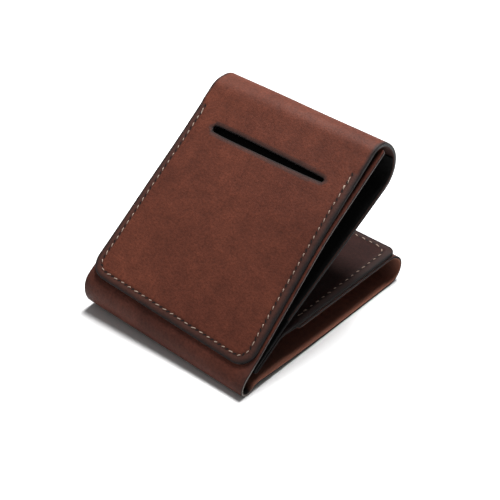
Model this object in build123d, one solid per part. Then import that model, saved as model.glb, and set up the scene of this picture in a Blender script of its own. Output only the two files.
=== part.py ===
from build123d import *
import math
import os

# Bifold wallet with an outside card pocket, standing half open on its back cover.
#
# It is made of two leather strips that hook into each other. The pocket strip is the front
# pocket face, runs over the far edge of the upper half in a loop, comes back as the inner leaf
# and crosses the fold to become the inner card panel. The cover strip starts under the front
# pocket face, goes round the spine, lies on the table as the back cover, and returns in a second
# loop under the card panel. One saddle-stitched seam at each end ties the two strips together,
# and the space between them is the banknote sleeve.
#
# Millimetres. X runs along the fold, Y from the spine to the far edge, Z up. The origin is on the
# table under the middle of the object. Profiles are drawn in the YZ plane, with y counted from
# the outermost point of the spine, and moved by half the length at the end.

# ---- driving dimensions -------------------------------------------------------------------
POCKET_WIDTH = 86.4           # pocket strip, along the fold
COVER_WIDTH = 88.0            # cover strip, a little proud of the pocket strip
POCKET_LEATHER = 1.8          # thickness of the pocket strip
COVER_LEATHER = 1.2           # thickness of the cover strip
LINING = 0.4                  # cloth lining on the inner leaf
LENGTH = 105.8                # spine to the outside of the far loop
LEVEL = 15.0                  # under side of the card panel, above the table

FLAP_START = (4.0, 15.5)      # outer face of the front pocket at its closed end
FLAP_SLOPE = 39.0             # degrees above the table
FLAP_LENGTH = 97.1           # closed end to the start of the top loop
TOP_BENDS = ((9.1, 73.4), (18.2, 25.5), (12.8, 91.1))  # outside radius and turn of each bend
LEAF_SLOPE = 29.0             # inner leaf; the three bends turn the flap's slope into it
LEAF_CONTACT = (28.6, 19.0)   # where the inner leaf parts from the card panel
LEAF_START = 2.6              # the leaf starts this far past that line

COVER_FOOT = (11.9, 17.9)     # inner face of the upper cover where it leaves the spine
COVER_SLOPE = 36.6            # cover leather of the upper half
COVER_LENGTH = 94.5           # upper cover, from its foot to its end inside the top loop

FAR_LOOP_RADIUS = 7.5         # outside
PANEL_START = 33.2            # card panel, nearest edge to the spine
PANEL_END = 102.4             # card panel, closed end
RETURN_START = 36.0           # end of the cover strip under the card panel
BASE_START = 9.8              # back cover, where it leaves the spine

SPINE_RADIUS = 4.0            # outside of the tight turn on the table
SPINE_TURN = 124.0            # how far the leather turns there
SPINE_RISE = 6.7              # straight part above it
SPINE_EASE = 29.0             # radius of the last, gentle turn into the upper cover
FOLD_TIP = (12.5, 8.5)        # middle of the inner fold's rounded tip
FOLD_THICKNESS = 3.2          # both layers, pared thin and pressed together

FLAP_CORNER = 8.0             # rounded corners at the closed end of the front pocket
PANEL_CORNER = 4.0            # rounded corners at the closed end of the card panel
COVER_CORNER = 2.0            # rounded corners of the cover strip's hidden ends
SLOT_LENGTH = 60.0            # passes the 54 mm edge of a bank card
SLOT_WIDTH = 3.0
FLAP_SLOT_AT = 79.0           # from the closed end
PANEL_SLOT_AT = 45.0          # from the closed end
EDGE_ROUND = 0.4              # burnished edges

SEAM_INSET = 3.4              # seam line to the leather's edge
STITCH_PITCH = 3.87
STITCH_LENGTH = 3.0
STITCH_WIDTH = 0.8
STITCH_HEIGHT = 0.3
FLAP_SEAM_LENGTH = 83.0       # side seams, from the closed end's seam line
PANEL_SEAM_LENGTH = 61.0
SEAM_CORNER = 5.0
SEAM_CLEARANCE = 0.02         # thread lies on the leather without cutting into it


def along(start, slope, distance, lift=0.0):
    """Point at a distance up a slope in the YZ profile, lifted square to it."""
    angle = math.radians(slope)
    dy, dz = math.cos(angle), math.sin(angle)
    return start[0] + distance * dy - lift * dz, start[1] + distance * dz + lift * dy


def sheet_plane(origin, slope):
    """Plane of a sloping sheet: its X is the object's X, its Y runs up the slope."""
    dy, dz = along((0, 0), slope, 1)
    return Plane(origin=(0, *origin), x_dir=(1, 0, 0), z_dir=(0, -dz, dy))


def rounded_sheet(width, length, thickness, near_corner=0.0, far_corner=0.0):
    """Flat sheet with its near edge on y = 0, rounded corners and burnished edges."""
    sheet = Pos(0, length / 2, thickness / 2) * Box(width, length, thickness)
    for corner, near in ((near_corner, True), (far_corner, False)):
        if corner > 0:
            uprights = sheet.edges().filter_by(Axis.Z).sort_by(Axis.Y)
            sheet = fillet(uprights[:2] if near else uprights[-2:], corner)
    rims = sheet.faces().sort_by(Axis.Z)
    return fillet(rims[0].edges() + rims[-1].edges(), EDGE_ROUND)


def cut_slot(sheet, at, thickness):
    """Card slot with round ends, across the sheet."""
    plan = Pos(0, at, -1) * SlotOverall(SLOT_LENGTH, SLOT_WIDTH)
    return sheet - extrude(plan, thickness + 2)


def across(section, width):
    """Extrude a section drawn as (y, z) along X, centred on the object."""
    turned = Plane(origin=(-width / 2, 0, 0), x_dir=(0, 1, 0), z_dir=(1, 0, 0))
    return turned * extrude(section, width)


def bent_path(start, heading, runs, depth):
    """Edges of a face of bent leather, a depth below its outside, and the heading at its end.

    Each run is (0, length) for a straight, or (radius, turn) for a bend to the right.
    """
    edges = []
    for radius, amount in runs:
        if radius == 0:
            end = along(start, heading, amount)
            edges.append(Line(along(start, heading, 0, -depth), along(end, heading, 0, -depth)))
            start = end
            continue
        centre = along(start, heading, 0, -radius)
        spots = [along(centre, heading - amount * share, 0, radius - depth) for share in (0, 0.5, 1)]
        edges.append(ThreePointArc(*spots))
        heading = heading - amount
        start = along(centre, heading, 0, radius)
    return edges, start, heading


def bent_leather(start, heading, runs, leather, width):
    """Strip of leather that runs straight and bends to the right, from its outer face."""
    outer, _, _ = bent_path(start, heading, runs, 0)
    inner, _, _ = bent_path(start, heading, runs, leather)
    caps = [Line(outer[0] @ 0, inner[0] @ 0), Line(outer[-1] @ 1, inner[-1] @ 1)]
    return across(make_face(outer + inner + caps), width)


def seam_places(half_width, side_length):
    """Places and headings of a U-shaped seam: down one side, round the closed end, and back."""
    path = Polyline(
        (-half_width, SEAM_INSET + side_length),
        (-half_width, SEAM_INSET),
        (half_width, SEAM_INSET),
        (half_width, SEAM_INSET + side_length),
    )
    path = fillet(path.vertices().sort_by(Axis.Y)[:2], SEAM_CORNER)
    count = round(path.length / STITCH_PITCH)
    return [path.location_at((number + 0.5) / count) for number in range(count)]


def seam(half_width, side_length):
    """Stitches of one seam, lying on the face of a sheet, as separate short bars."""
    stitches = []
    for place in seam_places(half_width, side_length):
        heading = place.z_axis.direction
        angle = math.degrees(math.atan2(heading.Y, heading.X))
        bar = Box(STITCH_LENGTH, STITCH_WIDTH, STITCH_HEIGHT)
        bar = fillet(bar.edges().filter_by(Axis.Z), STITCH_WIDTH * 0.45)
        spot = Pos(place.position.X, place.position.Y, STITCH_HEIGHT / 2 + SEAM_CLEARANCE)
        stitches.append(spot * Rot(0, 0, angle) * bar)
    return Compound(children=stitches)


def front_flap():
    sheet = rounded_sheet(POCKET_WIDTH, FLAP_LENGTH, POCKET_LEATHER, near_corner=FLAP_CORNER)
    sheet = cut_slot(sheet, FLAP_SLOT_AT, POCKET_LEATHER)
    return sheet_plane(along(FLAP_START, FLAP_SLOPE, 0, -POCKET_LEATHER), FLAP_SLOPE) * sheet


def front_seam():
    return sheet_plane(FLAP_START, FLAP_SLOPE) * seam(POCKET_WIDTH / 2 - SEAM_INSET, FLAP_SEAM_LENGTH)


def top_loop_start():
    return along(FLAP_START, FLAP_SLOPE, FLAP_LENGTH)


def top_loop():
    return bent_leather(top_loop_start(), FLAP_SLOPE, TOP_BENDS, POCKET_LEATHER, POCKET_WIDTH)


def leaf_sheet(low_end, high_end, base, top, width, rounded):
    """Layer of the inner leaf between two distances from its ends and two levels above it."""
    _, loop_end, _ = bent_path(top_loop_start(), FLAP_SLOPE, TOP_BENDS, 0)
    length = math.dist(LEAF_CONTACT, loop_end) - low_end - high_end
    if rounded:
        sheet = rounded_sheet(width, length, top - base)
    else:
        sheet = Pos(0, length / 2, (top - base) / 2) * Box(width, length, top - base)
    return sheet_plane(along(loop_end, LEAF_SLOPE, -length - high_end, base), LEAF_SLOPE) * sheet


def inner_leaf():
    return leaf_sheet(LEAF_START, 0, 0, POCKET_LEATHER, POCKET_WIDTH, True)


def leaf_lining():
    return leaf_sheet(LEAF_START + 2, 2, POCKET_LEATHER, POCKET_LEATHER + LINING, POCKET_WIDTH - 2, False)


def upper_cover():
    sheet = rounded_sheet(COVER_WIDTH, COVER_LENGTH, COVER_LEATHER, far_corner=COVER_CORNER)
    return sheet_plane(COVER_FOOT, COVER_SLOPE) * sheet


def spine_fold():
    """Cover strip round the fold: along the table, a tight turn, and up to the upper cover."""
    runs = (
        (0, BASE_START - SPINE_RADIUS),
        (SPINE_RADIUS, SPINE_TURN),
        (0, SPINE_RISE),
        (SPINE_EASE, 180 - SPINE_TURN - COVER_SLOPE),
    )
    return bent_leather((BASE_START, 0), 180, runs, COVER_LEATHER, COVER_WIDTH)


def inner_fold():
    """Pocket strip folded double between the inner leaf and the card panel."""
    slope = math.degrees(math.atan2(LEAF_CONTACT[1] - FOLD_TIP[1], LEAF_CONTACT[0] - FOLD_TIP[0]))
    leaf_foot = along(LEAF_CONTACT, LEAF_SLOPE, LEAF_START - 0.05)
    outline = Polyline(
        along(FOLD_TIP, slope, 0, FOLD_THICKNESS / 2),
        along(FOLD_TIP, slope, 0, -FOLD_THICKNESS / 2),
        (PANEL_START - 2.6, LEVEL),
        (PANEL_START, LEVEL),
        (PANEL_START, LEVEL + POCKET_LEATHER),
        LEAF_CONTACT,
        leaf_foot,
        along(leaf_foot, LEAF_SLOPE, 0, POCKET_LEATHER),
        close=True,
    )
    section = make_face(outline)
    section = fillet(section.vertices().sort_by(Axis.X)[:2], FOLD_THICKNESS * 0.45)
    return across(section, POCKET_WIDTH)


def base_cover():
    length = LENGTH - FAR_LOOP_RADIUS - BASE_START
    return sheet_plane((BASE_START, 0), 0) * rounded_sheet(COVER_WIDTH, length, COVER_LEATHER)


def far_loop():
    start = (LENGTH - FAR_LOOP_RADIUS, 2 * FAR_LOOP_RADIUS)
    return bent_leather(start, 0, ((FAR_LOOP_RADIUS, 180),), COVER_LEATHER, COVER_WIDTH)


def return_leg():
    length = LENGTH - FAR_LOOP_RADIUS - RETURN_START
    sheet = rounded_sheet(POCKET_WIDTH, length, COVER_LEATHER, near_corner=COVER_CORNER)
    return sheet_plane((RETURN_START, LEVEL - COVER_LEATHER), 0) * sheet


def inner_panel():
    length = PANEL_END - PANEL_START
    sheet = rounded_sheet(POCKET_WIDTH, length, POCKET_LEATHER, far_corner=PANEL_CORNER)
    return sheet_plane((PANEL_START, LEVEL), 0) * cut_slot(sheet, length - PANEL_SLOT_AT, POCKET_LEATHER)


def inner_seam():
    stitches = Rot(0, 0, 180) * seam(POCKET_WIDTH / 2 - SEAM_INSET, PANEL_SEAM_LENGTH)
    return sheet_plane((PANEL_END, LEVEL + POCKET_LEATHER), 0) * stitches


PARTS = {
    "front_flap": front_flap,
    "front_seam_thread": front_seam,
    "top_loop": top_loop,
    "inner_leaf": inner_leaf,
    "leaf_lining": leaf_lining,
    "upper_cover": upper_cover,
    "spine_fold": spine_fold,
    "inner_fold": inner_fold,
    "base_cover": base_cover,
    "far_loop": far_loop,
    "return_leg": return_leg,
    "inner_panel": inner_panel,
    "inner_seam_thread": inner_seam,
}

os.makedirs("parts", exist_ok=True)
for name, make in PARTS.items():
    export_step(Pos(0, -LENGTH / 2, 0) * make(), f"parts/{name}.step")
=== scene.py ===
"""Bifold leather wallet, standing half open: two strips of leather, two saddle-stitched seams."""
import math

import bmesh
import bpy
import numpy as np
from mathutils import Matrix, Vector

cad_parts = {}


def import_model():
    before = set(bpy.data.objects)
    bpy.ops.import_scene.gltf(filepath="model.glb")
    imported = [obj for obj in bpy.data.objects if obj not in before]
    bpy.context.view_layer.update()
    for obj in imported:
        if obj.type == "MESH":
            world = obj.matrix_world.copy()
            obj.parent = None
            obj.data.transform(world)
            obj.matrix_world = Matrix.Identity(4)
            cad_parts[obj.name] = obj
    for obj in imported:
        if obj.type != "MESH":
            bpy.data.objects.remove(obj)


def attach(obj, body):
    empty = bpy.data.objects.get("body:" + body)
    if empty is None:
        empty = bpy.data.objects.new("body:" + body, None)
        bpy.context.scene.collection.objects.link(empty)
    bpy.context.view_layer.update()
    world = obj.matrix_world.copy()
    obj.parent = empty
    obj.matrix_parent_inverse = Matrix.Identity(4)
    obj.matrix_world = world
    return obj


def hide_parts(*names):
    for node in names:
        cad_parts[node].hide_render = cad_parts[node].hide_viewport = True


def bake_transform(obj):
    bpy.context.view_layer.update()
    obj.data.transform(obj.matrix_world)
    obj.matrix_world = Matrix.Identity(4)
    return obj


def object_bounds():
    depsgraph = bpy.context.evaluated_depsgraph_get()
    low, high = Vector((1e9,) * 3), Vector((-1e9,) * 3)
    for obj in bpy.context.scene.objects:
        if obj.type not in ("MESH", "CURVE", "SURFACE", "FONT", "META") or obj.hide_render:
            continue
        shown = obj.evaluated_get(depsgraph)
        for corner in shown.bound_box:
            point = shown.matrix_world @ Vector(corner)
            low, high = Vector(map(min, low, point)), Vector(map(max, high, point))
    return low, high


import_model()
cad_low, cad_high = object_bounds()

MM = 0.001
UPPER, BASE = "upper_half", "base_half"

# ---- sizes, in millimetres -------------------------------------------------------------------
# Profiles lie in the YZ plane. y is counted from the outermost point of the spine, z from the
# table, and SPINE_Y moves them to the object's frame.
SPINE_Y = cad_low.y / MM

POCKET_HALF = 43.0            # half width of the pocket strip
COVER_HALF = 44.0             # half width of the cover strip
COVER_SHIFT = 0.2             # the cover strip sits a little towards +X
BASE_SKEW = 0.012             # the base half is folded this much out of square
LIFT_LEFT = 5.8               # the front pocket twists: its closed end is lifted at -X
LIFT_RIGHT = 3.2              # and pressed down at +X
TWIST_LEFT = 92.0             # how far up the pocket each fades out
TWIST_RIGHT = 60.0
POCKET_LEATHER = 2.0
COVER_LEATHER = 1.2
FOLD_LEATHER = 1.45           # the pocket strip is pared where it is folded
LINING_NEAR = 0.02            # the lining's two faces, counted from the leaf's inner face
LINING_FAR = 0.38

FLAP_START = (4.0, 15.5)
FLAP_SLOPE = 39.0
FLAP_LENGTH = 97.1
TOP_BENDS = ((9.1, 73.4), (18.2, 25.5), (12.8, 91.1))         # (radius, degrees)
LEAF_LENGTH = 71.3
LEAF_FOOT_CUT = 2.6           # the leaf ends and the fold begins this far above the bend
FOLD_BEND = 40.0              # radius of the bend from the leaf into the fold
FOLD_DEPTH = 17.7
FOLD_HEADING = -146.9         # degrees, down the inner fold
TIP_RADIUS = 0.12
PANEL_EASE = 7.0              # radius of the bend from the fold to the panel
PANEL_LEVEL = 16.8            # top face of the card panel
PANEL_START = 33.2
PANEL_END = 102.4
POCKET_CORNER = 8.0           # corner radius of the flap
PANEL_CORNER = 4.0

RETURN_START = 36.0
RETURN_LENGTH = 62.3
LOOP_RADIUS = 7.3             # the far loop
COVER_LENGTH = 94.5
COVER_STRAIGHT = 42.0         # the cover runs beside the flap this far, then bends away
COVER_BEND = (220.0, 5.0)
COVER_CORNER = 2.0

SEAM_INSET = 3.2
SEAM_CORNER = 5.0
STITCH_PITCH = 3.87
FLAP_SEAM = 83.0
PANEL_SEAM = 61.0
SLOT_HALF = 30.0
FLAP_SLOT_AT = 79.0
PANEL_SLOT_AT = 45.0          # from the panel's closed end
FLAP_SLOT_OPEN = (3.9, 2.3)   # how far each slot gapes at -X and at +X
PANEL_SLOT_OPEN = (2.6, 3.0)


# ---- paths -----------------------------------------------------------------------------------
def walk(start, heading, runs, step=0.15):
    """Points along a path of straights (0, length) and bends (radius, turn).

    A positive turn bends to the right, a negative one to the left.
    """
    here = np.array(start, float)
    angle = math.radians(heading)
    points = [here.copy()]
    for radius, amount in runs:
        if radius == 0:
            count = max(2, int(abs(amount) / step))
            ahead = np.array([math.cos(angle), math.sin(angle)])
            points += [here + ahead * amount * k / count for k in range(1, count + 1)]
        else:
            turn = math.radians(amount)
            side = 1 if turn > 0 else -1
            right = np.array([math.sin(angle), -math.cos(angle)]) * side
            centre = here + right * radius
            count = max(4, int(abs(turn) * max(radius, 0.6) / step), int(abs(amount) / 6))
            for k in range(1, count + 1):
                a = angle - turn * k / count
                points.append(centre - radius * np.array([math.sin(a), -math.cos(a)]) * side)
            angle -= turn
        here = points[-1].copy()
    return np.array(points)


def curve_through(points, step=0.15):
    """Smooth path through points: a centripetal spline."""
    p = np.array(points, float)
    p = np.vstack([2 * p[0] - p[1], p, 2 * p[-1] - p[-2]])
    out = []
    for i in range(1, len(p) - 2):
        gaps = [max(1e-6, math.dist(p[j], p[j + 1])) ** 0.5 for j in range(i - 1, i + 2)]
        t = np.cumsum([0] + gaps)
        count = max(2, int(math.dist(p[i], p[i + 1]) / step))
        for k in range(count):
            x = t[1] + (t[2] - t[1]) * k / count
            a = [
                ((t[j + 1] - x) * p[i - 1 + j] + (x - t[j]) * p[i + j]) / (t[j + 1] - t[j])
                for j in range(3)
            ]
            b = [
                ((t[j + 2] - x) * a[j] + (x - t[j]) * a[j + 1]) / (t[j + 2] - t[j])
                for j in range(2)
            ]
            out.append(((t[2] - x) * b[0] + (x - t[1]) * b[1]) / (t[2] - t[1]))
    out.append(p[-2])
    return np.array(out)


class Path:
    """A path with its length, so that a place on the strip is one number."""

    def __init__(self, points):
        keep = np.r_[True, np.linalg.norm(np.diff(points, axis=0), axis=1) > 1e-6]
        self.points = points[keep]
        steps = np.linalg.norm(np.diff(self.points, axis=0), axis=1)
        self.s = np.r_[0, np.cumsum(steps)]
        self.length = self.s[-1]
        along, up = np.gradient(self.points[:, 0]), np.gradient(self.points[:, 1])
        self.angle = np.unwrap(np.arctan2(up, along))

    def place(self, s):
        s = np.clip(s, 0, self.length)
        y = np.interp(s, self.s, self.points[:, 0])
        z = np.interp(s, self.s, self.points[:, 1])
        a = np.interp(s, self.s, self.angle)
        return y, z, a

    def rows(self, start, end, widest=1.2):
        """Row places from start to end, closer together where the path bends."""
        found = [start]
        while found[-1] < end - 1e-6:
            s = found[-1]
            a = np.interp([s, s + 0.4], self.s, self.angle)
            bend = abs(a[1] - a[0]) / 0.4
            found.append(s + min(widest, max(0.1, 0.14 / max(bend, 1e-6))))
        found[-1] = end
        return found


def smooth(x):
    x = np.clip(x, 0, 1)
    return x * x * (3 - 2 * x)


def edge_gap(x, s, half, length, near, far):
    """Distance inside the outline of a strip with rounded corners at its ends."""
    radius = np.where(s < length / 2, near, far)
    into = np.minimum(s, length - s)
    dx = np.abs(x) - (half - radius)
    ds = radius - into
    outside = np.hypot(np.maximum(dx, 0), np.maximum(ds, 0))
    return radius - outside - np.minimum(np.maximum(dx, ds), 0)


def seam_gap(x, s, half, closed, length, side):
    """Distance to a U-shaped seam line. side is 1 if the seam runs up from closed, or -1."""
    t = (s - closed) * side
    hx = half - SEAM_INSET
    r = SEAM_CORNER
    dx = np.abs(x) - (hx - r)
    dt = r - t
    corner = np.abs(np.hypot(np.maximum(dx, 0), np.maximum(dt, 0)) - r)
    straight = np.minimum(np.abs(np.abs(x) - hx), np.abs(t))
    gap = np.where((dx > 0) & (dt > 0), corner, straight)
    return np.where(t > length, np.hypot(gap, t - length), gap)


class Strip:
    """A strip of leather: its path, its width and thickness, its corners, slots and seams."""

    def __init__(self, path, half, thickness, near=0.0, far=0.0, round_edge=0.4, slots=(), seams=()):
        self.path = path
        self.half = half
        self.thickness = thickness
        self.near = near
        self.far = far
        self.round_edge = round_edge
        self.slots = slots
        self.seams = seams
        self.sway = None          # moves a point towards the inner side, in millimetres
        self.slide = None         # moves a point along the path
        self.shift = None         # moves a point along X

    def width_at(self, s):
        length = self.path.length
        cut = 0.0
        for radius, into in ((self.near, s), (self.far, length - s)):
            if radius > 0 and into < radius:
                cut = max(cut, radius - math.sqrt(max(0.0, radius ** 2 - (radius - into) ** 2)))
        return self.half - cut

    def slot_opening(self, slot, x):
        at, half, left, right = slot
        share = np.clip((x + half) / (2 * half), 0, 1)
        wide = left + (right - left) * share
        return wide * np.clip(1 - (x / half) ** 2, 0, 1) ** 0.13

    def surface(self, x, s, side, gap=None, lift=0.0):
        """Points of the outer (side 0) or inner (side 1) face, in metres."""
        y, z, a = self.path.place(s)
        t = self.thickness(s)
        length = self.path.length
        if gap is None:
            gap = edge_gap(x, s, self.half, length, self.near, self.far)
        r = self.round_edge
        over = np.clip(r - np.clip(gap, 0, None), 0, r)
        rounding = r - np.sqrt(np.maximum(r * r - over ** 2, 0))
        depth = np.zeros_like(s) + rounding * (1 - 2 * side) + t * side
        if side == 0:
            for closed, seam_length, way in self.seams:
                near_seam = seam_gap(x, s, self.half, closed, seam_length, way)
                inside = (s - closed) * way < seam_length + 2
                depth += 0.22 * np.exp(-((near_seam / 0.75) ** 2)) * (near_seam < 4)
                depth += 0.30 * smooth((3.2 - gap) / 3.2) * inside
        depth -= lift
        depth += self.sway(x, s) if self.sway else 0.0
        ahead = self.slide(x, s) if self.slide else 0.0
        px = x + (self.shift(x, s, y) if self.shift else 0.0)
        py = y + depth * np.sin(a) + ahead * np.cos(a) + SPINE_Y
        pz = z - depth * np.cos(a) + ahead * np.sin(a)
        return np.stack([px, py, pz], axis=-1) * MM


def object_from(name, verts, faces, materials, indices, smooth_shade=True):
    mesh = bpy.data.meshes.new(name)
    mesh.from_pydata([tuple(v) for v in verts], [], faces)
    for m in materials:
        mesh.materials.append(m)
    mesh.polygons.foreach_set("material_index", indices)
    if smooth_shade:
        mesh.polygons.foreach_set("use_smooth", [True] * len(mesh.polygons))
    mesh.update()
    obj = bpy.data.objects.new(name, mesh)
    bpy.context.scene.collection.objects.link(obj)
    return obj


def strip_piece(name, strip, start, end, materials, widest=1.2):
    """One stretch of a strip as a mesh. Real ends are closed and slots are cut through."""
    length = strip.path.length
    fine = np.array([0, 0.05, 0.13, 0.25, 0.42, 0.7, 1.1, 1.7])
    rows = strip.path.rows(start, end, widest)
    extra = []
    if start <= 0:
        extra += list(fine)
    if end >= length:
        extra += list(length - fine)
    for radius, at in ((strip.near, 0), (strip.far, length)):
        if radius > 0 and start <= at <= end:
            extra += [abs(at - radius * (1 - math.cos(k * math.pi / 20))) for k in range(1, 11)]
    slots = [slot for slot in strip.slots if start < slot[0] < end]
    for slot in slots:
        near = np.array([0.13, 0.25, 0.42, 0.7, 1.1, 1.7, 2.5, 3.4, 4.5])
        rows = [r for r in rows if abs(r - slot[0]) > 4.8]
        extra += list(slot[0] - near) + list(slot[0] + near) + [slot[0] - 0.05, slot[0] + 0.05]
    rows = sorted(set(np.round([r for r in rows + extra if start <= r <= end], 4)))
    kept = [rows[0]]
    for r in rows[1:]:
        if r - kept[-1] > 0.03:
            kept.append(r)
    kept[-1] = rows[-1]
    for slot in slots:
        kept += [slot[0], slot[0] + 1e-9]
    rows = np.array(sorted(kept))

    edge = np.array([
        0, 0.05, 0.13, 0.25, 0.42, 0.7, 1.1, 1.6, 2.1, 2.5,
        2.8, 3.1, 3.4, 3.7, 4.0, 4.4, 5.0, 5.8, 7.0,
    ])
    inner = strip.half - 7.0
    middle = np.linspace(-inner, inner, max(3, int(2 * inner / 1.7)))
    columns = list(-strip.half + edge) + list(middle) + list(strip.half - edge)
    if slots:
        near = np.array([0, 0.12, 0.3, 0.6, 1.0, 1.6, 2.4])
        half = slots[0][1]
        columns = [c for c in columns if abs(abs(c) - half) > 2.9]
        for sign in (-1, 1):
            columns += list(sign * (half - near)) + list(sign * (half + near[1:]))
    columns = np.array(sorted(set(np.round(columns, 4))))

    n_row, n_col = len(rows), len(columns)
    shrink = np.array([strip.width_at(s) / strip.half for s in rows])
    x = columns[None, :] * shrink[:, None]
    s = np.repeat(rows[:, None], n_col, axis=1)
    gap = edge_gap(x, s, strip.half, length, strip.near, strip.far)
    if start > 0:
        gap = np.where(s < length / 2, np.minimum(gap, strip.half - np.abs(x)), gap)
    moved = s.copy()
    lips = []
    for slot in slots:
        at, half = slot[0], slot[1]
        opening = strip.slot_opening(slot, x) / 2
        above = s > at
        away = np.abs(s - at)
        decay = np.clip(1 - away / 7.0, 0, 1) ** 2
        moved += np.where(above, 1, -1) * opening * decay
        lip = at + np.where(above, 1, -1) * opening
        to_lip = np.where(np.abs(x) < half, np.abs(moved - lip), np.hypot(np.abs(x) - half, away))
        gap = np.minimum(gap, 1.7 * to_lip)
        below = int(np.where(rows <= at)[0][-1])
        lips.append((below, below + 1, half))
    for i in range(n_row):
        if (i == 0 and start <= 0) or (i == n_row - 1 and end >= length):
            gap[i, :] = 0
    gap[:, 0] = 0
    gap[:, -1] = 0

    top = strip.surface(x, moved, 0, gap)
    bottom = strip.surface(x, moved, 1, gap)
    verts = np.concatenate([top.reshape(-1, 3), bottom.reshape(-1, 3)])
    offset = n_row * n_col
    weld = {}
    for low, high, half in lips:
        for j, c in enumerate(columns):
            if abs(c) >= half - 1e-6:
                for base in (0, offset):
                    weld[base + high * n_col + j] = base + low * n_col + j

    def vid(side, i, j):
        k = side * offset + i * n_col + j
        return weld.get(k, k)

    faces, indices = [], []

    def add(face, index):
        ring = []
        for v in face:
            if v not in ring:
                ring.append(v)
        if len(ring) > 2:
            faces.append(ring)
            indices.append(index)

    lip_rows = {low for low, _, _ in lips}
    for i in range(n_row - 1):
        if i in lip_rows:
            continue
        for j in range(n_col - 1):
            add((vid(0, i, j), vid(0, i, j + 1), vid(0, i + 1, j + 1), vid(0, i + 1, j)), 0)
            add((vid(1, i, j), vid(1, i + 1, j), vid(1, i + 1, j + 1), vid(1, i, j + 1)), 2)
    for i in range(n_row - 1):
        if i in lip_rows:
            continue
        add((vid(0, i, 0), vid(0, i + 1, 0), vid(1, i + 1, 0), vid(1, i, 0)), 1)
        k = n_col - 1
        add((vid(0, i, k), vid(1, i, k), vid(1, i + 1, k), vid(0, i + 1, k)), 1)
    if start <= 0:
        for j in range(n_col - 1):
            add((vid(0, 0, j), vid(1, 0, j), vid(1, 0, j + 1), vid(0, 0, j + 1)), 1)
    if end >= length:
        k = n_row - 1
        for j in range(n_col - 1):
            add((vid(0, k, j), vid(0, k, j + 1), vid(1, k, j + 1), vid(1, k, j)), 1)
    for low, high, half in lips:
        for j in range(n_col - 1):
            if abs(columns[j]) <= half + 1e-6 and abs(columns[j + 1]) <= half + 1e-6:
                add((vid(0, low, j), vid(0, low, j + 1), vid(1, low, j + 1), vid(1, low, j)), 1)
                add((vid(0, high, j), vid(1, high, j), vid(1, high, j + 1), vid(0, high, j + 1)), 1)
    obj = object_from(name, verts, faces, materials, indices)
    mesh = obj.data
    place = np.concatenate([
        np.stack([x, moved, np.zeros_like(x)], -1).reshape(-1, 3),
        np.stack([x, moved, np.full_like(x, 40.0)], -1).reshape(-1, 3),
    ]) * MM
    mesh.attributes.new("strip", "FLOAT_VECTOR", "POINT").data.foreach_set("vector", place.ravel())
    rim = np.concatenate([gap.ravel(), gap.ravel()])
    mesh.attributes.new("rim", "FLOAT", "POINT").data.foreach_set("value", rim.astype(np.float32))
    stitched = np.full(x.shape, 20.0)
    outside = np.zeros(x.shape)
    for closed, seam_length, way in strip.seams:
        near_seam = seam_gap(x, s, strip.half, closed, seam_length, way)
        stitched = np.minimum(stitched, near_seam)
        t = (s - closed) * way
        beyond = (gap < SEAM_INSET) & (t < seam_length + 1)
        outside = np.maximum(outside, beyond * smooth((near_seam - 0.1) / 0.5))
    mesh.attributes.new("seam", "FLOAT", "POINT").data.foreach_set(
        "value", np.tile(stitched.ravel(), 2).astype(np.float32))
    mesh.attributes.new("margin", "FLOAT", "POINT").data.foreach_set(
        "value", np.tile(outside.ravel(), 2).astype(np.float32))
    used = np.zeros(len(mesh.vertices), bool)
    for f in faces:
        used[list(f)] = True
    if not used.all():
        bm = bmesh.new()
        bm.from_mesh(mesh)
        bm.verts.ensure_lookup_table()
        bmesh.ops.delete(bm, geom=[bm.verts[k] for k in np.where(~used)[0]], context="VERTS")
        bm.to_mesh(mesh)
        bm.free()
    return obj


# ---- materials -------------------------------------------------------------------------------
def new_material(name):
    material = bpy.data.materials.new(name)
    material.use_nodes = True
    tree = material.node_tree
    tree.nodes.clear()
    output = tree.nodes.new("ShaderNodeOutputMaterial")
    shader = tree.nodes.new("ShaderNodeBsdfPrincipled")
    tree.links.new(shader.outputs[0], output.inputs[0])
    return material, tree, shader


def node(tree, kind, **values):
    made = tree.nodes.new(kind)
    for key, value in values.items():
        if key in made.inputs:
            made.inputs[key].default_value = value
        else:
            setattr(made, key, value)
    return made


def attribute(tree, name):
    made = tree.nodes.new("ShaderNodeAttribute")
    made.attribute_name = name
    return made


def ramp(tree, source, stops):
    made = tree.nodes.new("ShaderNodeValToRGB")
    tree.links.new(source, made.inputs[0])
    elements = made.color_ramp.elements
    while len(elements) < len(stops):
        elements.new(0.5)
    for element, (at, value) in zip(elements, stops):
        element.position = at
        element.color = (*value, 1) if len(value) == 3 else value
    return made.outputs[0]


def mix(tree, a, b, factor, kind="MIX"):
    made = tree.nodes.new("ShaderNodeMix")
    made.data_type = "RGBA"
    made.blend_type = kind
    for socket, value in ((made.inputs[6], a), (made.inputs[7], b), (made.inputs[0], factor)):
        if hasattr(value, "is_output"):
            tree.links.new(value, socket)
        else:
            socket.default_value = value if isinstance(value, (int, float)) else (*value, 1)
    return made.outputs[2]


def remap(tree, source, low, high, to_low=0.0, to_high=1.0):
    made = tree.nodes.new("ShaderNodeMapRange")
    tree.links.new(source, made.inputs[0])
    for k, value in enumerate((low, high, to_low, to_high)):
        made.inputs[k + 1].default_value = value
    return made.outputs[0]


MARGIN_BROWN = (0.030, 0.019, 0.017)
BURNISH_BLACK = (0.012, 0.010, 0.010)
SEAM_SHADE = (0.02, 0.010, 0.008)
# Near black, painted as shade where a face lies inside a pocket or under another layer.
PAINTED_SHADE_BLACK = (0.006, 0.005, 0.005)
BORDER_DARK = (0.014, 0.011, 0.011)
LEATHER_ROUGHNESS = 0.55


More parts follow.
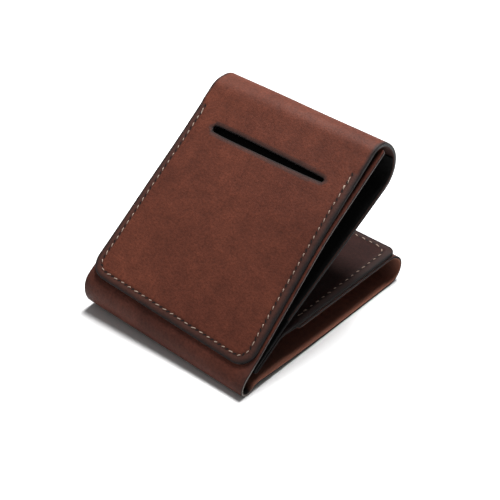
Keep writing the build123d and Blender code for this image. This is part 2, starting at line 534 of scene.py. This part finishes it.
def leather(name, deep, light, specular, covered=None, border=0.0, burnished=1.35, inside=None):
    """Oiled pull-up leather: cloudy colour, fine grain, burnished margins.

    border darkens the edges of the strip before covered. burnished is how far the dark edge reaches.
    covered is the place along the strip, in metres, past which it is painted black as shade where it
    lies under another layer.
    inside gives two darker colours, painted shade, and where along the strip they start and have taken
    over.
    """
    material, tree, shader = new_material(name)
    where = attribute(tree, "strip").outputs["Vector"]
    clouds = node(tree, "ShaderNodeTexNoise", Scale=28.0, Detail=5.0, Roughness=0.6, Distortion=0.4)
    tree.links.new(where, clouds.inputs["Vector"])
    streaks = node(tree, "ShaderNodeTexNoise", Scale=160.0, Detail=6.0, Roughness=0.65)
    tree.links.new(where, streaks.inputs["Vector"])
    colour = ramp(tree, clouds.outputs[0], [(0.32, deep), (0.68, light)])
    split = node(tree, "ShaderNodeSeparateXYZ")
    tree.links.new(where, split.inputs[0])
    if inside:
        # painted shade: these darker colours take over along the strip
        other = ramp(tree, clouds.outputs[0], [(0.32, inside[0]), (0.68, inside[1])])
        colour = mix(tree, colour, other, remap(tree, split.outputs[1], inside[2], inside[3]))
    fine = ramp(tree, streaks.outputs[0], [(0.3, (0.70, 0.70, 0.70)), (0.7, (1.28, 1.24, 1.2))])
    colour = mix(tree, colour, fine, 0.7, "MULTIPLY")
    pores = node(tree, "ShaderNodeTexNoise", Scale=900.0, Detail=5.0, Roughness=0.75)
    tree.links.new(where, pores.inputs["Vector"])
    speckle = ramp(tree, pores.outputs[0], [
        (0.36, (0.55, 0.52, 0.50)), (0.5, (1.0, 1.0, 1.0)), (0.66, (1.45, 1.4, 1.35)),
    ])
    colour = mix(tree, colour, speckle, 0.55, "MULTIPLY")
    rim = attribute(tree, "rim").outputs["Fac"]
    seam = attribute(tree, "seam").outputs["Fac"]
    outside = attribute(tree, "margin").outputs["Fac"]
    wobble = remap(tree, streaks.outputs[0], 0.3, 0.7, -0.25, 0.25)
    shifted = node(tree, "ShaderNodeMath", operation="ADD")
    tree.links.new(rim, shifted.inputs[0])
    tree.links.new(wobble, shifted.inputs[1])
    colour = mix(tree, colour, MARGIN_BROWN, remap(tree, outside, 0.0, 1.0, 0.0, 0.60))
    burnish = remap(tree, shifted.outputs[0], 0.18 * burnished, burnished, 0.93, 0.0)
    colour = mix(tree, colour, BURNISH_BLACK, burnish)
    dark_seam = remap(tree, seam, 0.3, 1.0, 0.5, 0.0)
    colour = mix(tree, colour, SEAM_SHADE, dark_seam)
    if covered:
        # painted shade: past covered, under another layer, the face is painted near black away from its
        # edges
        hidden = remap(tree, split.outputs[1], covered, covered + 0.004)
        within = remap(tree, rim, 1.6, 2.4)
        both = node(tree, "ShaderNodeMath", operation="MULTIPLY")
        tree.links.new(hidden, both.inputs[0])
        tree.links.new(within, both.inputs[1])
        colour = mix(tree, colour, PAINTED_SHADE_BLACK, both.outputs[0])
        bare = node(tree, "ShaderNodeMath", operation="MULTIPLY")
        at_edge = remap(tree, shifted.outputs[0], 0.5, 6.0, border, 0.0)
        before = remap(tree, split.outputs[1], covered - 0.008, covered, 1.0, 0.0)
        tree.links.new(at_edge, bare.inputs[0])
        tree.links.new(before, bare.inputs[1])
        colour = mix(tree, colour, BORDER_DARK, bare.outputs[0])
    tree.links.new(colour, shader.inputs["Base Color"])
    rough = remap(tree, clouds.outputs[0], 0.3, 0.7, LEATHER_ROUGHNESS + 0.06, LEATHER_ROUGHNESS - 0.05)
    tree.links.new(rough, shader.inputs["Roughness"])
    shader.inputs["Specular IOR Level"].default_value = specular
    pebbles = node(tree, "ShaderNodeTexVoronoi", Scale=1500.0, feature="SMOOTH_F1")
    pebbles.inputs["Smoothness"].default_value = 0.6
    tree.links.new(where, pebbles.inputs["Vector"])
    bump = node(tree, "ShaderNodeBump", Strength=0.32, Distance=0.00012)
    tree.links.new(pebbles.outputs[0], bump.inputs["Height"])
    second = node(tree, "ShaderNodeBump", Strength=0.6, Distance=0.00022)
    tree.links.new(pores.outputs[0], second.inputs["Height"])
    tree.links.new(bump.outputs[0], second.inputs["Normal"])
    third = node(tree, "ShaderNodeBump", Strength=0.30, Distance=0.0008)
    tree.links.new(streaks.outputs[0], third.inputs["Height"])
    tree.links.new(second.outputs[0], third.inputs["Normal"])
    tree.links.new(third.outputs[0], shader.inputs["Normal"])
    return material


def cut_edge(name, colour, roughness, later=(), gloss=0.22, worn=None):
    """Cut or burnished edge: layers of fibre pressed together.

    later lists other colours and where along the strip, in metres, each takes over.
    worn gives a place along the strip in metres, and the roughness before and after it.
    """
    material, tree, shader = new_material(name)
    where = attribute(tree, "strip").outputs["Vector"]
    fibre = node(tree, "ShaderNodeTexNoise", Scale=900.0, Detail=5.0, Roughness=0.7)
    tree.links.new(where, fibre.inputs["Vector"])
    dark = tuple(c * 0.55 for c in colour)
    tone = ramp(tree, fibre.outputs[0], [(0.3, dark), (0.7, colour)])
    split = node(tree, "ShaderNodeSeparateXYZ")
    tree.links.new(where, split.inputs[0])
    for other, place in later:
        dark = tuple(c * 0.6 for c in other)
        there = ramp(tree, fibre.outputs[0], [(0.3, dark), (0.7, other)])
        tone = mix(tree, tone, there, remap(tree, split.outputs[1], place - 0.002, place + 0.002))
    tree.links.new(tone, shader.inputs["Base Color"])
    shader.inputs["Roughness"].default_value = roughness
    shader.inputs["Specular IOR Level"].default_value = gloss
    if worn:
        place, before, after = worn
        rough = remap(tree, split.outputs[1], place - 0.004, place + 0.004, before, after)
        tree.links.new(rough, shader.inputs["Roughness"])
    bump = node(tree, "ShaderNodeBump", Strength=0.4, Distance=0.0002)
    tree.links.new(fibre.outputs[0], bump.inputs["Height"])
    tree.links.new(bump.outputs[0], shader.inputs["Normal"])
    return material


def suede(name, colour, border=None, black_from=None):
    """Flesh side of the leather: matt and fibrous, with a lighter border if one is given, painted light
    where light reaches in at the edges.

    Past black_from, a place along the strip in metres, it is painted black as shade.
    """
    material, tree, shader = new_material(name)
    where = attribute(tree, "strip").outputs["Vector"]
    nap = node(tree, "ShaderNodeTexNoise", Scale=420.0, Detail=6.0, Roughness=0.75)
    tree.links.new(where, nap.inputs["Vector"])
    dark = tuple(c * 0.6 for c in colour)
    tone = ramp(tree, nap.outputs[0], [(0.32, dark), (0.7, colour)])
    if border:
        # painted light: the lighter border colour is mixed in within 5 mm of the edge
        rim = attribute(tree, "rim").outputs["Fac"]
        tone = mix(tree, tone, border, remap(tree, rim, 0.5, 5.0, 1.0, 0.0))
    if black_from:
        split = node(tree, "ShaderNodeSeparateXYZ")
        tree.links.new(where, split.inputs[0])
        # painted shade: black past this place along the strip
        black = remap(tree, split.outputs[1], black_from, black_from + 0.004)
        tone = mix(tree, tone, PAINTED_SHADE_BLACK, black)
    tree.links.new(tone, shader.inputs["Base Color"])
    shader.inputs["Roughness"].default_value = 0.85
    shader.inputs["Specular IOR Level"].default_value = 0.2
    bump = node(tree, "ShaderNodeBump", Strength=0.5, Distance=0.0003)
    tree.links.new(nap.outputs[0], bump.inputs["Height"])
    tree.links.new(bump.outputs[0], shader.inputs["Normal"])
    return material


def cloth(name, colour):
    """Black lining cloth, plain weave."""
    material, tree, shader = new_material(name)
    where = attribute(tree, "strip").outputs["Vector"]
    weave = node(tree, "ShaderNodeTexVoronoi", Scale=2600.0, distance="CHEBYCHEV", Randomness=0.15)
    tree.links.new(where, weave.inputs["Vector"])
    dark = tuple(c * 0.5 for c in colour)
    tone = ramp(tree, weave.outputs[0], [(0.1, colour), (0.7, dark)])
    tree.links.new(tone, shader.inputs["Base Color"])
    shader.inputs["Roughness"].default_value = 0.9
    shader.inputs["Specular IOR Level"].default_value = 0.15
    bump = node(tree, "ShaderNodeBump", Strength=0.6, Distance=0.0001)
    tree.links.new(weave.outputs[0], bump.inputs["Height"])
    tree.links.new(bump.outputs[0], shader.inputs["Normal"])
    return material


def waxed_thread(name, colour):
    """Waxed linen thread with its plies twisted."""
    material, tree, shader = new_material(name)
    where = node(tree, "ShaderNodeTexCoord").outputs["Object"]
    twist = node(tree, "ShaderNodeTexWave", Scale=900.0, Distortion=1.5)
    twist.bands_direction = "DIAGONAL"
    tree.links.new(where, twist.inputs["Vector"])
    dark = tuple(c * 0.62 for c in colour)
    tone = ramp(tree, twist.outputs[0], [(0.2, dark), (0.7, colour)])
    tree.links.new(tone, shader.inputs["Base Color"])
    shader.inputs["Roughness"].default_value = 0.55
    bump = node(tree, "ShaderNodeBump", Strength=0.4, Distance=0.0002)
    tree.links.new(twist.outputs[0], bump.inputs["Height"])
    tree.links.new(bump.outputs[0], shader.inputs["Normal"])
    return material


pocket_back = suede("pocket_leather_back", (0.040, 0.016, 0.012))
lining_black = cloth("lining_cloth", (0.006, 0.006, 0.006))
thread_beige = waxed_thread("thread_linen", (0.30, 0.215, 0.165))
# The awl holes are near-black flat discs: painted shade for the holes.
painted_hole_shade = suede("awl_hole", (0.008, 0.005, 0.004))


# ---- the pocket strip ------------------------------------------------------------------------
down = FLAP_SLOPE - sum(turn for _, turn in TOP_BENDS)
pocket_runs = [(0, FLAP_LENGTH), *TOP_BENDS, (0, LEAF_LENGTH), (FOLD_BEND, down - FOLD_HEADING)]
pocket_runs += [(0, FOLD_DEPTH)]
before_tip = walk(FLAP_START, FLAP_SLOPE, pocket_runs)
tip_turn = walk(before_tip[-1], FOLD_HEADING, [(TIP_RADIUS, -180)])
back = FOLD_HEADING + 180
rise = math.sin(math.radians(back))
climb = PANEL_EASE * (1 - math.cos(math.radians(back)))
run_up = (PANEL_LEVEL - tip_turn[-1][1] - climb) / rise
to_panel = [(0, run_up), (PANEL_EASE, back)]
panel_y = walk(tip_turn[-1], back, to_panel)[-1][0]
lower = walk(tip_turn[-1], back, to_panel + [(0, PANEL_END - panel_y)])
pocket_path = Path(np.vstack([before_tip, tip_turn[1:], lower[1:]]))

length_top = FLAP_LENGTH + sum(r * math.radians(t) for r, t in TOP_BENDS)
S_LEAF_FOOT = length_top + LEAF_LENGTH - LEAF_FOOT_CUT
S_TIP = Path(np.vstack([before_tip, tip_turn[1:len(tip_turn) // 2 + 1]])).length
S_PANEL = pocket_path.length - (PANEL_END - PANEL_START)


def pocket_thickness(s):
    """Full leather, pared thin through the inner fold."""
    near = smooth((s - (S_LEAF_FOOT - 4)) / 8) * smooth((S_PANEL + 2 - s) / 8)
    return POCKET_LEATHER + (FOLD_LEATHER - POCKET_LEATHER) * near


def twist(x, t):
    """How far the front pocket and its cover stand out, at a distance t from the closed end."""
    share = np.clip((x + POCKET_HALF) / (2 * POCKET_HALF), 0, 1)
    left = LIFT_LEFT * np.clip(1 - t / TWIST_LEFT, 0, 1)
    right = -LIFT_RIGHT * np.clip(1 - t / TWIST_RIGHT, 0, 1) ** 1.2
    return left * (1 - share) + right * share


def bell(s, middle, width):
    return np.exp(-(((s - middle) / width) ** 2))


def ripple(x, s):
    """Slight unevenness of hand-worked leather."""
    return 0.07 * np.sin(x / 9.0 + 1.3 * np.sin(s / 17.0)) + 0.06 * np.sin(s / 7.0 + x / 21.0)


def pocket_sway(x, s):
    """The twist of the front pocket, a fuller top loop at -X, and slight ripples."""
    share = np.clip((x + POCKET_HALF) / (2 * POCKET_HALF), 0, 1)
    over = bell(s, FLAP_LENGTH + 12, 22)
    out = twist(x, s) + (0.9 * (1 - share) - 0.5 * share) * over
    rounder = (1.2 * (1 - share) ** 2) * bell(s, FLAP_LENGTH + 5.8, 5.5)
    return rounder - out + ripple(x, s) * (s < FLAP_LENGTH + 25)


def pocket_slide(x, s):
    """The closed end of the flap is drawn towards the spine, more so at +X."""
    return -(0.9 + 0.6 * x / POCKET_HALF) * np.clip(1 - s / 60, 0, 1)


def pocket_shift(x, s, y):
    """The panel and the lower half of the fold follow the skew of the base half."""
    return BASE_SKEW * y * (s > S_TIP)


flap_slot = (FLAP_SLOT_AT, SLOT_HALF, *FLAP_SLOT_OPEN)
panel_slot = (pocket_path.length - PANEL_SLOT_AT, SLOT_HALF, *PANEL_SLOT_OPEN)
pocket = Strip(
    pocket_path, POCKET_HALF, pocket_thickness, near=POCKET_CORNER, far=PANEL_CORNER, round_edge=0.45,
    slots=(flap_slot, panel_slot),
    seams=((SEAM_INSET, FLAP_SEAM, 1), (pocket_path.length - SEAM_INSET, PANEL_SEAM, -1)),
)

# Painted shade: the leather is painted darker from the flap to the panel, across the middle of the
# leaf, for the shade under the upper half.
LEAF_TOP = (length_top + 3.0) * MM
LEAF_MIDDLE = (length_top + 0.5 * LEAF_LENGTH) * MM
POCKET_TONES = ((0.064, 0.0175, 0.0105), (0.094, 0.0270, 0.0160))
PAINTED_SHADE_TONES = (
    (0.0165, 0.0060, 0.0052), (0.0230, 0.0084, 0.0072), LEAF_MIDDLE - 0.015, LEAF_MIDDLE + 0.015,
)
pocket_face = leather(
    "pocket_leather_face", *POCKET_TONES, specular=0.115, inside=PAINTED_SHADE_TONES, burnished=1.8)
inner_face = leather(
    "pocket_leather_inner_face", *POCKET_TONES, specular=0.06, inside=PAINTED_SHADE_TONES)
pocket_edge = cut_edge(
    "pocket_leather_edge", (0.009, 0.008, 0.008), 0.40, gloss=0.14,
    later=(((0.004, 0.004, 0.004), LEAF_TOP),), worn=(LEAF_TOP, 0.40, 0.80),
)
inner_edge = cut_edge("pocket_leather_inner_edge", (0.010, 0.009, 0.009), 0.7, gloss=0.03)
pocket.sway = pocket_sway
pocket.slide = pocket_slide
pocket.shift = pocket_shift
outer_faces = [pocket_face, pocket_edge, pocket_back]
inner_faces = [inner_face, inner_edge, pocket_back]
fold_faces = [pocket_face, inner_edge, lining_black]
upper_pocket = strip_piece("pocket_strip_upper", pocket, 0, S_LEAF_FOOT, outer_faces)
fold_high = strip_piece("pocket_strip_fold_high", pocket, S_LEAF_FOOT, S_TIP, fold_faces, 0.8)
fold_low = strip_piece("pocket_strip_fold_low", pocket, S_TIP, S_PANEL, inner_faces, 0.8)
panel = strip_piece("pocket_strip_panel", pocket, S_PANEL, pocket_path.length, inner_faces)

# ---- the cover strip -------------------------------------------------------------------------
bend_radius, bend_turn = COVER_BEND
after_bend = COVER_LENGTH - COVER_STRAIGHT - bend_radius * math.radians(bend_turn)
return_runs = [(0, RETURN_LENGTH), (LOOP_RADIUS, 180), (0, 40.0)]
return_start = walk((RETURN_START, 2 * LOOP_RADIUS), 0, return_runs)
base_points = [
    tuple(return_start[-1]), (50.0, 0.2), (34.0, 0.7), (20.0, 1.5), (12.0, 2.1), (9.2, 1.9), (7.1, 0.7),
]
spine_points = [
    (5.0, 0.0), (2.9, 0.3), (1.1, 1.7), (0.1, 4.6), (0.5, 8.0), (1.7, 10.7), (3.6, 13.1),
    (6.0, 15.0), (8.6, 16.8), (11.2, 18.85),
]
base_curve = curve_through(base_points + spine_points)
cover_up = walk(base_curve[-1], FLAP_SLOPE, [(0, COVER_STRAIGHT), COVER_BEND, (0, after_bend)])
cover_path = Path(np.vstack([return_start, base_curve[1:], cover_up[1:]]))
S_COVER_TOP = cover_path.length - COVER_LENGTH
S_SPINE_FOOT = S_COVER_TOP - 24.0
S_SPINE_HEAD = S_COVER_TOP - 9.0


def cover_sway(x, s):
    """The cover follows the twist of the pocket that is sewn to it, and the spine bulges with it."""
    rise = smooth((s - S_SPINE_FOOT) / (S_SPINE_HEAD - S_SPINE_FOOT))
    t = np.clip(s - S_COVER_TOP + 9.0, 0, None)
    lift = twist(x, t)
    full = 0.82 + 0.18 * smooth(t / 25.0)
    return -rise * np.where(lift > 0, full, 1.0) * lift


def cover_shift(x, s, y):
    """The return leg is as narrow as the card panel that is sewn to it."""
    trim = 0.9 * smooth((RETURN_LENGTH + 8.0 - s) / 10.0)
    return COVER_SHIFT + BASE_SKEW * y * (s < S_SPINE_FOOT) - trim * x / COVER_HALF


cover = Strip(
    cover_path, COVER_HALF, lambda s: COVER_LEATHER + 0 * s,
    near=COVER_CORNER, far=COVER_CORNER, round_edge=0.25,
)
cover.sway = cover_sway
cover.shift = cover_shift
S_BASE_EDGE = S_COVER_TOP - 29.0
# The cover face is painted black as shade where it runs under the flap.
cover_face = leather(
    "cover_leather_face", (0.064, 0.0192, 0.0130), (0.094, 0.0290, 0.0192), specular=0.095,
    covered=(S_COVER_TOP + 2.0) * MM, border=0.45, burnished=0.35,
)
cover_edge = cut_edge(
    "cover_leather_edge", (0.014, 0.013, 0.014), 0.4, gloss=0.16,
    worn=(S_BASE_EDGE * MM, 0.85, 0.4),
    later=(
        ((0.150, 0.130, 0.115), S_BASE_EDGE * MM),
        ((0.036, 0.016, 0.012), (S_COVER_TOP - 6) * MM),
    ),
)
cover_back = suede(
    # The lighter border is painted light, where light reaches in at the open edges of the base pocket.
    "cover_leather_back", (0.140, 0.055, 0.038), border=(0.190, 0.074, 0.048),
    # painted shade: black from the spine bend onwards, inside the pockets
    black_from=(S_BASE_EDGE - 2.0) * MM,
)
cover_faces = [cover_face, cover_edge, cover_back]
cover_strip = strip_piece("cover_strip", cover, 0, cover_path.length, cover_faces)


# ---- lining ----------------------------------------------------------------------------------
def lining_piece(start, end):
    """A closed sheet of cloth on the inner side of the pocket strip, from start to end along it."""
    rows = np.array(pocket_path.rows(start, end, 1.2))
    columns = np.linspace(-POCKET_HALF + 0.3, POCKET_HALF - 0.3, 50)
    x = np.repeat(columns[None, :], len(rows), axis=0)
    s = np.repeat(rows[:, None], len(columns), axis=1)
    clear = np.full_like(x, 5.0)
    layers = [pocket.surface(x, s, 1, clear, lift=-out) for out in (LINING_NEAR, LINING_FAR)]
    verts = np.concatenate([layer.reshape(-1, 3) for layer in layers])
    n, m = x.shape
    faces = []
    for i in range(n - 1):
        for j in range(m - 1):
            a = i * m + j
            faces.append((a, a + 1, a + m + 1, a + m))
            faces.append((n * m + a, n * m + a + m, n * m + a + m + 1, n * m + a + 1))
    border = [(0, j) for j in range(m)] + [(i, m - 1) for i in range(1, n)]
    border += [(n - 1, j) for j in range(m - 2, -1, -1)] + [(i, 0) for i in range(n - 2, 0, -1)]
    for (i, j), (k, l) in zip(border, border[1:] + border[:1]):
        a, b = i * m + j, k * m + l
        faces.append((b, a, a + n * m, b + n * m))
    obj = object_from("leaf_lining_cloth", verts, faces, [lining_black], [0] * len(faces))
    place = np.tile(np.stack([x, s, 0 * x], -1).reshape(-1, 3) * MM, (2, 1))
    obj.data.attributes.new("strip", "FLOAT_VECTOR", "POINT").data.foreach_set("vector", place.ravel())
    return obj


lining = lining_piece(length_top - 17.0, S_LEAF_FOOT)


# ---- stitches --------------------------------------------------------------------------------
def seam_line(half, length):
    """Points (x, t) along a U-shaped seam, t counted from its closed side."""
    hx, r = half - SEAM_INSET, SEAM_CORNER
    points = [(-hx, length), (-hx, r)]
    turn = np.linspace(0, math.pi / 2, 12)
    points += [(-hx + r - r * math.cos(a), r - r * math.sin(a)) for a in turn[1:]]
    points += [(hx - r + r * math.sin(a), r - r * math.cos(a)) for a in turn]
    points += [(hx, length)]
    return Path(np.array(points))


THREAD_RADIUS = 0.22
STITCH_REACH = 0.98           # half the length that shows
STITCH_SLANT = 15.0           # degrees
HOLE_REACH = (0.84, 0.34)     # half length and half width of an awl hole


def stitches(name, strip, seam):
    """Thread and awl holes of a seam, with two back-stitches at each end."""
    closed, length, way = seam
    line = seam_line(strip.half, length)
    count = round(line.length / STITCH_PITCH)
    pitch = line.length / count
    verts, faces, hole_verts, hole_faces = [], [], [], []
    rng = np.random.default_rng(7)

    def world(x, t, lift):
        along = np.array([closed + way * t])
        return strip.surface(np.array([x]), along, 0, np.array([SEAM_INSET]), lift)[0]

    ring, steps = 8, 11
    spots = [(k + 0.5, 0.0) for k in range(count)]
    spots += [(0.85, 0.25), (1.55, -0.2), (count - 0.85, -0.25), (count - 1.55, 0.2)]
    for at_pitch, beside in spots:
        middle = at_pitch * pitch
        x0, t0, a0 = line.place(middle)
        slant = math.radians(STITCH_SLANT + rng.normal(0, 6))
        reach = STITCH_REACH + rng.normal(0, 0.14)
        ahead = np.array([math.cos(a0 + slant), math.sin(a0 + slant)])
        aside = np.array([-ahead[1], ahead[0]])
        x0, t0 = np.array([x0, t0]) + aside * (beside + rng.normal(0, 0.05))
        first = len(verts)
        for q in range(steps):
            f = -1 + 2 * q / (steps - 1)
            bow = (1 - f * f)
            radius = THREAD_RADIUS * (0.68 + 0.32 * bow)
            lift = -0.36 + 0.48 * bow ** 0.55
            for w in range(ring):
                ang = 2 * math.pi * w / ring
                off = aside * radius * math.cos(ang)
                at = np.array([x0, t0]) + ahead * reach * f + off
                verts.append(world(at[0], at[1], lift + radius * 0.85 * math.sin(ang)))
        for q in range(steps - 1):
            for w in range(ring):
                a, b = first + q * ring + w, first + q * ring + (w + 1) % ring
                faces.append((a, b, b + ring, a + ring))
        faces.append(tuple(first + w for w in range(ring))[::-1])
        faces.append(tuple(first + (steps - 1) * ring + w for w in range(ring)))
    # Each awl hole is a flat dark disc, painted shade for the hole.
    for k in range(count + 1):
        x0, t0, a0 = line.place(k * pitch)
        ahead = np.array([math.cos(a0 + 0.5), math.sin(a0 + 0.5)])
        aside = np.array([-ahead[1], ahead[0]])
        first = len(hole_verts)
        for w in range(12):
            ang = 2 * math.pi * w / 12
            long, wide = HOLE_REACH
            at = np.array([x0, t0]) + ahead * long * math.cos(ang) + aside * wide * math.sin(ang)
            hole_verts.append(world(at[0], at[1], 0.035))
        hole_verts.append(world(x0, t0, 0.05))
        for w in range(12):
            hole_faces.append((first + w, first + (w + 1) % 12, first + 12))
    thread = object_from(name + "_thread", verts, faces, [thread_beige], [0] * len(faces))
    holes = object_from(name + "_awl_holes", hole_verts, hole_faces, [painted_hole_shade], [0] * len(hole_faces))
    flat = np.array(hole_verts)
    holes.data.attributes.new("strip", "FLOAT_VECTOR", "POINT").data.foreach_set("vector", flat.ravel())
    return thread, holes


front_thread, front_holes = stitches("front_seam", pocket, pocket.seams[0])
inner_thread, inner_holes = stitches("inner_seam", pocket, pocket.seams[1])

# ---- bodies ----------------------------------------------------------------------------------
for piece, body in (
    (upper_pocket, UPPER), (lining, UPPER), (front_thread, UPPER), (front_holes, UPPER),
    (panel, BASE), (inner_thread, BASE), (inner_holes, BASE),
):
    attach(piece, body)


def at(y, z):
    """A point of the profile in the object's frame."""
    return (0.0, (y + SPINE_Y) * MM, z * MM)


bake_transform(fold_high)
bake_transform(fold_low)
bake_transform(cover_strip)

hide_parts("front_flap", "top_loop", "inner_leaf")
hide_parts("inner_fold")
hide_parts("inner_panel")
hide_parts("upper_cover", "spine_fold", "base_cover", "far_loop", "return_leg")
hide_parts("leaf_lining")
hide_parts("front_seam_thread")
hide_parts("inner_seam_thread")

# ---- stage, light and camera -----------------------------------------------------------------
FLOOR = 30.0                  # metres, half side
FLOOR_DEPTH = 0.0002          # the floor lies this far under the object
LAMP_TARGET = (-0.04, 0.04, 0.0)

floor_material, _, floor_shader = new_material("floor_white")
floor_shader.inputs["Base Color"].default_value = (0.80, 0.80, 0.80, 1)
floor_shader.inputs["Roughness"].default_value = 0.7
floor_shader.inputs["Specular IOR Level"].default_value = 0.1
corners = [(-FLOOR, -FLOOR), (FLOOR, -FLOOR), (FLOOR, FLOOR), (-FLOOR, FLOOR)]
corners = [(x, y, -FLOOR_DEPTH) for x, y in corners]
floor = object_from("floor", corners, [(0, 1, 2, 3)], [floor_material], [0], False)

# Bright walls at the horizon, and a dim ceiling that leaves the light to the lamps.
world = bpy.data.worlds.new("studio")
bpy.context.scene.world = world
world.use_nodes = True
world_tree = world.node_tree
background = world_tree.nodes["Background"]
direction = node(world_tree, "ShaderNodeTexCoord").outputs["Generated"]
height = node(world_tree, "ShaderNodeSeparateXYZ")
world_tree.links.new(direction, height.inputs[0])
walls = remap(world_tree, height.outputs[2], 0.03, 0.10, 1.0, 0.2)
world_tree.links.new(walls, background.inputs[0])
background.inputs[1].default_value = 1.0


def lamp_towards(name, kind, place, target, energy):
    lamp = bpy.data.lights.new(name, kind)
    lamp.energy = energy
    obj = bpy.data.objects.new(name, lamp)
    bpy.context.scene.collection.objects.link(obj)
    obj.location = place
    obj.rotation_euler = (Vector(target) - Vector(place)).to_track_quat("-Z", "Y").to_euler()
    return lamp


room = lamp_towards("room", "SUN", (-0.05, 0.36, 0.77), LAMP_TARGET, 3.0)
room.angle = math.radians(18.0)
overhead = lamp_towards("overhead", "AREA", (-0.055, 0.16, 0.50), LAMP_TARGET, 3.9)
overhead.size = 0.27

camera = bpy.data.objects.new("camera", bpy.data.cameras.new("camera"))
bpy.context.scene.collection.objects.link(camera)
camera.data.lens = 79.2
camera.data.sensor_width = 36.0
camera.data.clip_start = 0.01
camera.location = (0.2518, -0.2789, 0.3096)
looking = Vector((-0.5298, 0.5917, -0.6077))
camera.rotation_euler = looking.to_track_quat("-Z", "Y").to_euler()
bpy.context.scene.camera = camera
bpy.context.scene.view_settings.view_transform = "Standard"
